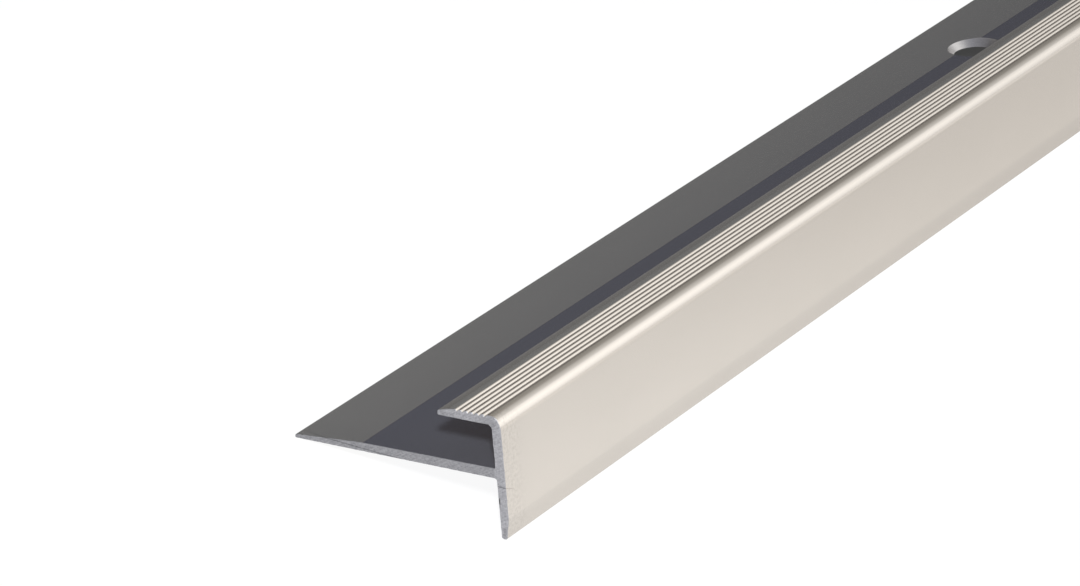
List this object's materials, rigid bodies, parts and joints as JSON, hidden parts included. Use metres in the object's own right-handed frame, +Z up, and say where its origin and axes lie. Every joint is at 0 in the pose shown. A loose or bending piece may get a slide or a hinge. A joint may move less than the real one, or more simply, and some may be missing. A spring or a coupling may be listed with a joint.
{
  "type": "stair nosing",
  "caption": "Extruded aluminium stair nosing: tapered screw-down base plate, slot for a thin floor covering under a grooved anti-slip lip, rounded nose and a drop leg over the riser.",
  "frame": {"origin": "on the floor under the middle of the profile, which lies unheld on its toe and on the free edge of its base plate", "axes": "+X along the profile, +Y from the front face back over the tread, +Z up from the floor"},
  "size_m": [0.9, 0.031, 0.0152],
  "materials": {
    "anodised_aluminium": "satin anodised"
  },
  "bodies": {
    "root": {"nosing_profile": "anodised_aluminium"}
  },
  "joints": []
}
